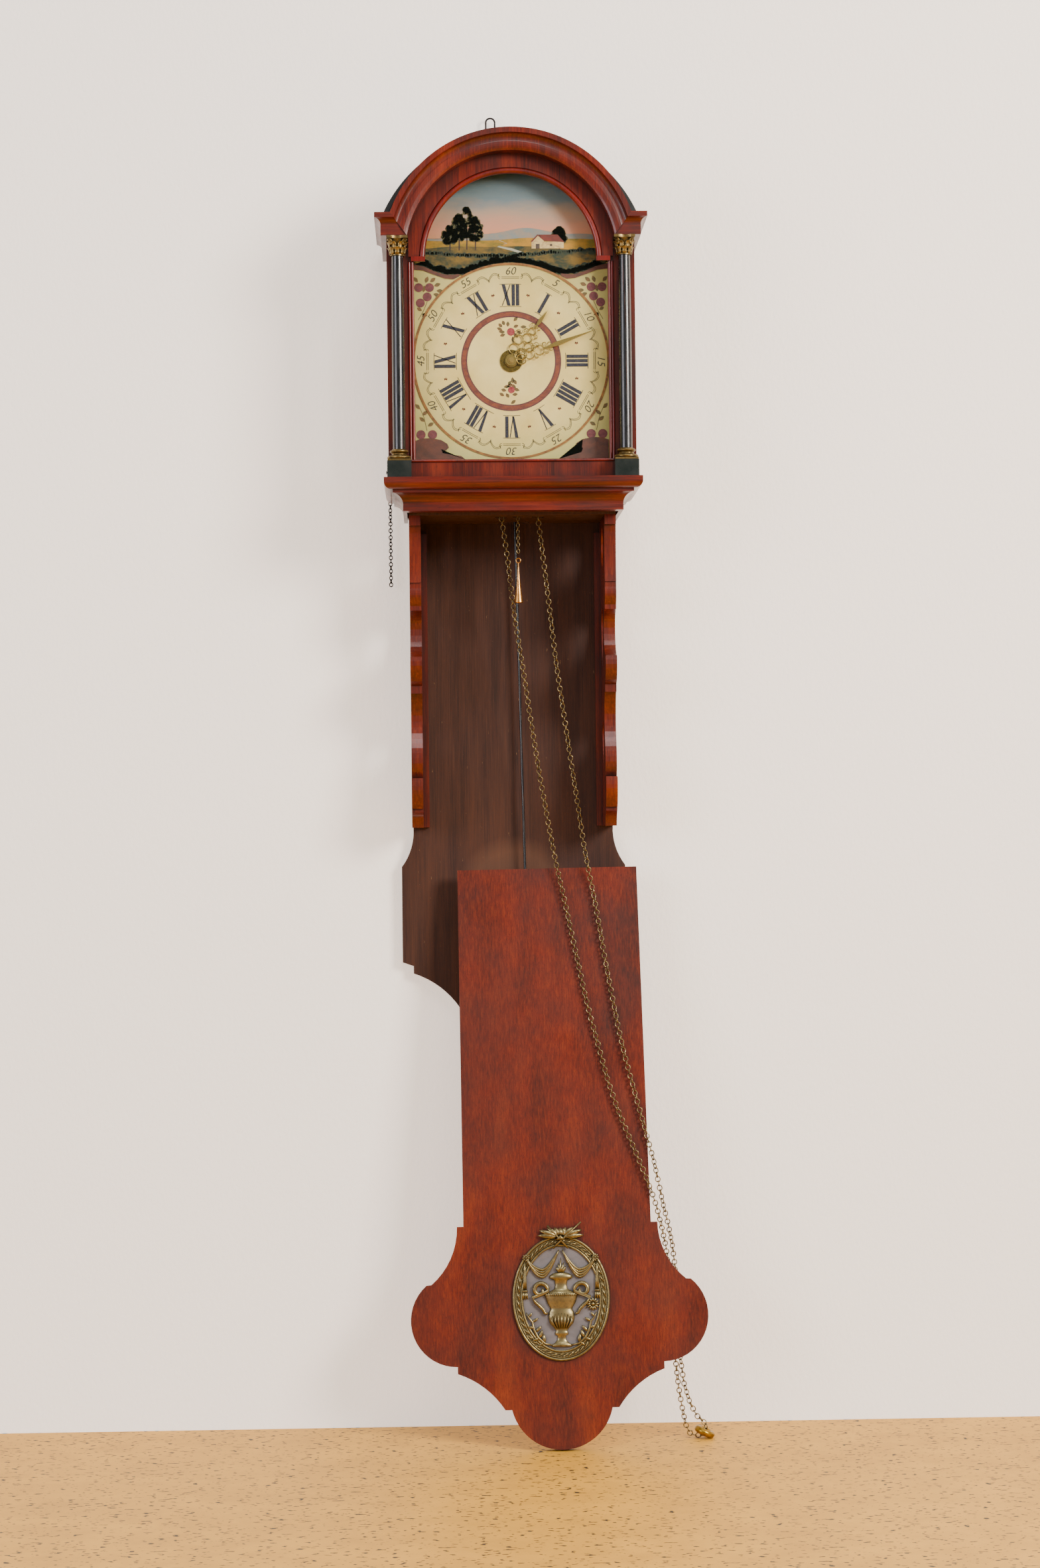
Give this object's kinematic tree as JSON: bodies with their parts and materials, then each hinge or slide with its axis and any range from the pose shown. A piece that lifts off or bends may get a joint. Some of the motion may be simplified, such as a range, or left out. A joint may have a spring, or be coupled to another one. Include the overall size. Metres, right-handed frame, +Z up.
{
  "type": "tail clock",
  "caption": "Wall clock with an arched hood on pierced brackets, a tailed backboard, its lobed tail front leaning loose, a painted dial, cage movement, pendulum and chain.",
  "frame": {"origin": "back face of the backboard, straight behind the axis of the hands", "axes": "+X to the right as seen from the front, -Y to the front, +Z up"},
  "size_m": [0.4291, 0.206, 1.75],
  "materials": {
    "hood_wood": "polished",
    "bracket_wood": "polished",
    "tail_wood": "polished",
    "board_wood": "satin",
    "seat_wood": "satin",
    "roof_black": "satin",
    "column_black": "polished",
    "plinth_black": "polished",
    "gilt": "aged gilding",
    "old_brass": "aged",
    "train_brass": "satin",
    "bell_brass": "aged",
    "hand_brass": "aged",
    "alarm_brass": "aged",
    "iron": "dark",
    "dial_paint": "old paint",
    "glass": "clear",
    "chain_brass": "aged",
    "chain_black": "dark",
    "cone_brass": "polished",
    "ring_brass": "aged"
  },
  "bodies": {
    "case": {"backboard": "board_wood", "bracket_left": "bracket_wood", "bracket_right": "bracket_wood", "guide_rails": "bracket_wood", "hanging_loop": "iron", "seat_board": "seat_wood", "chain_nail": "iron", "cage_plates": "iron", "cage_posts": "iron", "front_bar": "train_brass", "middle_bar": "train_brass", "rear_bar": "train_brass", "pendulum_cock": "iron", "bell_stand": "iron", "bell": "bell_brass", "dial": "dial_paint", "dial_feet": "iron", "main_chain": "chain_brass", "ring_weight": "ring_brass", "alarm_chain": "chain_brass", "cone_weight": "cone_brass", "side_chain": "chain_black"},
    "hood": {"hood_front": "hood_wood", "arch_moulding": "hood_wood", "window_bead": "hood_wood", "cornice": "hood_wood", "base_moulding": "hood_wood", "hood_side_left": "hood_wood", "hood_side_right": "hood_wood", "hood_roof": "roof_black", "hood_glass": "glass", "side_glass": "glass", "columns": "column_black", "capitals": "gilt", "column_bases": "gilt", "plinths": "plinth_black"},
    "cover": {"tail_front": "tail_wood", "tail_window": "glass", "window_ornament": "old_brass"},
    "minute_arbor": {"centre_wheel": "train_brass", "minute_hand": "hand_brass"},
    "hour_pipe": {"hour_wheel": "train_brass", "hour_hand": "hand_brass"},
    "motion_wheel": {"minute_wheel": "train_brass"},
    "going_great": {"great_wheel": "train_brass"},
    "going_third": {"third_wheel": "train_brass"},
    "going_escape": {"escape_wheel": "train_brass"},
    "alarm_setting": {"alarm_disc": "alarm_brass"},
    "strike_great": {"strike_great_wheel": "train_brass"},
    "strike_pins": {"pin_wheel": "train_brass"},
    "strike_warning": {"warning_wheel": "train_brass"},
    "strike_fly": {"fly": "train_brass"},
    "anchor_arbor": {"anchor": "iron"},
    "pendulum": {"pendulum_rod": "iron", "pendulum_bob": "old_brass"},
    "bell_hammer": {"hammer": "iron"}
  },
  "joints": [
    {"name": "hood_slide", "type": "slide", "parent": "case", "child": "hood", "axis": [0, -1, 0], "range_m": [0, 0.25]},
    {"name": "cover_slide", "type": "slide", "parent": "case", "child": "cover", "axis": [-1, 0, 0], "range_m": [0, 0.12]},
    {"name": "minute_turn", "type": "hinge", "parent": "case", "child": "minute_arbor", "pos_m": [0, -0.1, 0], "axis": [0, 1, 0], "continuous": true},
    {"name": "hour_turn", "type": "hinge", "parent": "case", "child": "hour_pipe", "pos_m": [0, -0.1, 0], "axis": [0, 1, 0], "continuous": true},
    {"name": "motion_turn", "type": "hinge", "parent": "case", "child": "motion_wheel", "pos_m": [0, -0.1, -0.032], "axis": [0, 1, 0], "continuous": true},
    {"name": "great_turn", "type": "hinge", "parent": "case", "child": "going_great", "pos_m": [0, -0.1, -0.04375], "axis": [0, 1, 0], "continuous": true},
    {"name": "third_turn", "type": "hinge", "parent": "case", "child": "going_third", "pos_m": [0, -0.1, 0.036], "axis": [0, 1, 0], "continuous": true},
    {"name": "escape_turn", "type": "hinge", "parent": "case", "child": "going_escape", "pos_m": [0, -0.1, 0.06745], "axis": [0, 1, 0], "continuous": true},
    {"name": "alarm_turn", "type": "hinge", "parent": "hour_pipe", "child": "alarm_setting", "pos_m": [0, -0.1, 0], "axis": [0, 1, 0], "continuous": true},
    {"name": "strike_great_turn", "type": "hinge", "parent": "case", "child": "strike_great", "pos_m": [0, -0.1, -0.04375], "axis": [0, 1, 0], "continuous": true},
    {"name": "pin_turn", "type": "hinge", "parent": "case", "child": "strike_pins", "pos_m": [0, -0.1, 0], "axis": [0, 1, 0], "continuous": true},
    {"name": "warning_turn", "type": "hinge", "parent": "case", "child": "strike_warning", "pos_m": [0, -0.1, 0.036], "axis": [0, 1, 0], "continuous": true},
    {"name": "fly_turn", "type": "hinge", "parent": "case", "child": "strike_fly", "pos_m": [0, -0.1, 0.0608], "axis": [0, 1, 0], "continuous": true},
    {"name": "pendulum_swing", "type": "hinge", "parent": "case", "child": "pendulum", "pos_m": [0, -0.0255, 0.11335], "axis": [0, 1, 0], "range_deg": [-1.4, 3.6]},
    {"name": "anchor_rock", "type": "hinge", "parent": "case", "child": "anchor_arbor", "pos_m": [0, -0.08, 0.11335], "axis": [0, 1, 0], "range_deg": [-1.5, 3.7]},
    {"name": "hammer_lift", "type": "hinge", "parent": "case", "child": "bell_hammer", "pos_m": [0.064, -0.08, 0.02], "axis": [0, 1, 0], "range_deg": [0, 12]}
  ],
  "couplings": [
    {"joint": "minute_turn", "follows": "third_turn", "ratio": -0.125},
    {"joint": "hour_turn", "follows": "third_turn", "ratio": -0.010417},
    {"joint": "motion_turn", "follows": "third_turn", "ratio": 0.041667},
    {"joint": "great_turn", "follows": "third_turn", "ratio": 0.020833},
    {"joint": "escape_turn", "follows": "third_turn", "ratio": -8.25},
    {"joint": "pin_turn", "follows": "warning_turn", "ratio": -0.125},
    {"joint": "strike_great_turn", "follows": "warning_turn", "ratio": 0.020833},
    {"joint": "fly_turn", "follows": "warning_turn", "ratio": -6.75},
    {"joint": "anchor_rock", "follows": "pendulum_swing", "ratio": 1}
  ]
}
